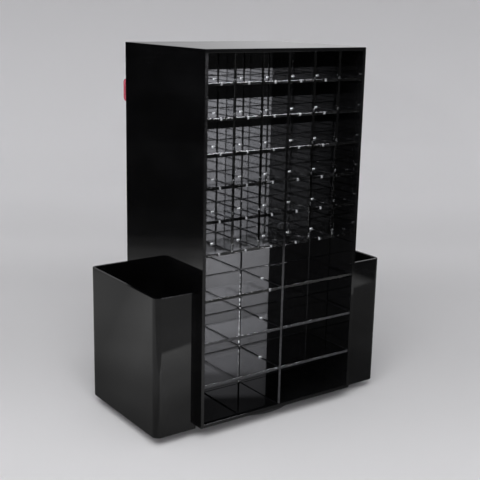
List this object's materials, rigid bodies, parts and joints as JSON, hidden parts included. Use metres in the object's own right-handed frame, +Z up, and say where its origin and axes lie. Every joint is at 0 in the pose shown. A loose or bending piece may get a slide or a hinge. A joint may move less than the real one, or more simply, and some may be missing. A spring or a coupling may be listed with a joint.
{
  "type": "paint rack organizer",
  "caption": "Revolving tower rack for paint bottles: clear small cells above larger bays on two faces, glossy black casing, open side bins, ball-bearing turntable base.",
  "frame": {"origin": "on the turntable's axis, at the underside of the non-slip pad, where it meets the table", "axes": "+Z up along the turntable's axis, -Y out of the front face that has the pull tab behind its left edge, +X to the right seen from the front"},
  "size_m": [0.28, 0.1556, 0.372],
  "materials": {
    "black_acrylic": "polished, mirror-like, with fine dust and hairline scratches",
    "clear_acrylic": "water-clear, polished, with bright laser-cut edges",
    "black_turntable": "satin moulded rim",
    "rubber_pad": "matt non-slip pad",
    "zinc_steel": "zinc plated",
    "ball_steel": "polished",
    "cage_brass": "stamped",
    "nylon": "natural nylon",
    "red_tab": "translucent red"
  },
  "bodies": {
    "base": {"base_pad": "rubber_pad", "base_disc": "black_turntable", "lower_race": "zinc_steel", "lower_race_screws": "zinc_steel", "thrust_washer": "nylon"},
    "ball_ring": {"ball_cage": "cage_brass", "bearing_balls": "ball_steel"},
    "tower": {"upper_race": "zinc_steel", "upper_race_screws": "zinc_steel", "pivot_pin": "zinc_steel", "bottom_panel": "black_acrylic", "top_panel": "black_acrylic", "left_side_panel": "black_acrylic", "right_side_panel": "black_acrylic", "centre_panel": "black_acrylic", "front_shelf_1": "clear_acrylic", "front_shelf_2": "clear_acrylic", "front_shelf_3": "clear_acrylic", "front_shelf_4": "clear_acrylic", "front_shelf_5": "clear_acrylic", "front_deck": "clear_acrylic", "front_bay_shelf_1": "clear_acrylic", "front_bay_shelf_2": "clear_acrylic", "front_bay_shelf_3": "clear_acrylic", "front_divider_1": "clear_acrylic", "front_divider_2": "clear_acrylic", "front_centre_divider": "clear_acrylic", "front_divider_4": "clear_acrylic", "front_divider_5": "clear_acrylic", "rear_shelf_1": "clear_acrylic", "rear_shelf_2": "clear_acrylic", "rear_shelf_3": "clear_acrylic", "rear_shelf_4": "clear_acrylic", "rear_shelf_5": "clear_acrylic", "rear_deck": "clear_acrylic", "rear_bay_shelf_1": "clear_acrylic", "rear_bay_shelf_2": "clear_acrylic", "rear_bay_shelf_3": "clear_acrylic", "rear_divider_1": "clear_acrylic", "rear_divider_2": "clear_acrylic", "rear_centre_divider": "clear_acrylic", "rear_divider_4": "clear_acrylic", "rear_divider_5": "clear_acrylic", "left_bin_wall": "black_acrylic", "left_bin_floor": "black_acrylic", "right_bin_wall": "black_acrylic", "right_bin_floor": "black_acrylic", "pull_tab": "red_tab"}
  },
  "joints": [
    {"name": "tower_spin", "type": "hinge", "parent": "base", "child": "tower", "pos_m": [0, 0, 0.009], "axis": [0, 0, 1], "continuous": true},
    {"name": "ball_ring_spin", "type": "hinge", "parent": "base", "child": "ball_ring", "pos_m": [0, 0, 0.0091], "axis": [0, 0, 1], "continuous": true}
  ],
  "couplings": [
    {"joint": "ball_ring_spin", "follows": "tower_spin", "ratio": 0.5}
  ]
}
